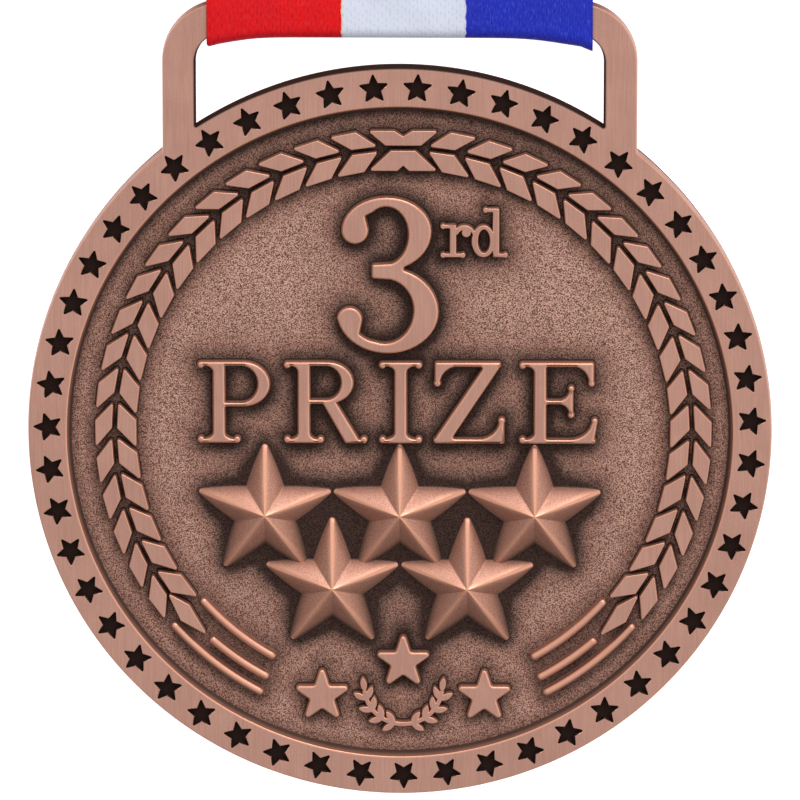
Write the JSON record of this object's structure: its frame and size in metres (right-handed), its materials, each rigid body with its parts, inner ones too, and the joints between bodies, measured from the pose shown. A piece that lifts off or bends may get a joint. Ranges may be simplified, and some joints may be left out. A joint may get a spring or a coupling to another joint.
{
  "type": "award medal",
  "caption": "Round die-cast third-place award medal with a star rim, wreath and raised stars, hung from a slotted loop on a folded striped neck ribbon.",
  "frame": {"origin": "centre of the disc's flat back face", "axes": "+Z out of the front face, +Y from the disc's centre to the ribbon loop, +X to the right as the face is read"},
  "size_m": [0.074, 0.1621, 0.0068],
  "materials": {
    "antique_copper": "brushed raised faces, dark patina and grit-blasted field",
    "ribbon": "woven polyester in red, white and blue stripes",
    "thread": "twisted polyester sewing thread"
  },
  "bodies": {
    "medal": {"medal_casting": "antique_copper", "ribbon_wrap": "ribbon", "ribbon_bend": "ribbon"},
    "strap": {"ribbon_panel_1": "ribbon", "seam_stitching": "thread", "ribbon_fold_1": "ribbon"},
    "panel_2": {"ribbon_panel_2": "ribbon", "ribbon_fold_2": "ribbon"},
    "panel_3": {"ribbon_panel_3": "ribbon", "ribbon_fold_3": "ribbon"},
    "panel_4": {"ribbon_panel_4": "ribbon", "ribbon_fold_4": "ribbon"},
    "panel_5": {"ribbon_panel_5": "ribbon", "ribbon_fold_5": "ribbon"},
    "panel_6": {"ribbon_panel_6": "ribbon"}
  },
  "joints": [
    {"name": "ribbon_swing", "type": "hinge", "parent": "medal", "child": "strap", "pos_m": [0, 0.042, 0.002], "axis": [1, 0, 0], "range_deg": [-130, 130], "deforming": ["ribbon_bend", "ribbon_wrap"]},
    {"name": "fold_1", "type": "hinge", "parent": "strap", "child": "panel_2", "pos_m": [0, 0.124, 0.00108], "axis": [-1, 0, 0], "range_deg": [0, 178], "deforming": ["ribbon_fold_1"]},
    {"name": "fold_2", "type": "hinge", "parent": "panel_2", "child": "panel_3", "pos_m": [0, 0.06, 0.00222], "axis": [1, 0, 0], "range_deg": [0, 178], "deforming": ["ribbon_fold_2"]},
    {"name": "fold_3", "type": "hinge", "parent": "panel_3", "child": "panel_4", "pos_m": [0, 0.124, 0.00337], "axis": [-1, 0, 0], "range_deg": [0, 178], "deforming": ["ribbon_fold_3"]},
    {"name": "fold_4", "type": "hinge", "parent": "panel_4", "child": "panel_5", "pos_m": [0, 0.06, 0.00453], "axis": [1, 0, 0], "range_deg": [0, 178], "deforming": ["ribbon_fold_4"]},
    {"name": "fold_5", "type": "hinge", "parent": "panel_5", "child": "panel_6", "pos_m": [0, 0.124, 0.00568], "axis": [-1, 0, 0], "range_deg": [0, 178], "deforming": ["ribbon_fold_5"]}
  ],
  "couplings": [
    {"joint": "fold_2", "follows": "fold_1", "ratio": 1},
    {"joint": "fold_3", "follows": "fold_1", "ratio": 1},
    {"joint": "fold_4", "follows": "fold_1", "ratio": 1},
    {"joint": "fold_5", "follows": "fold_1", "ratio": 1}
  ]
}
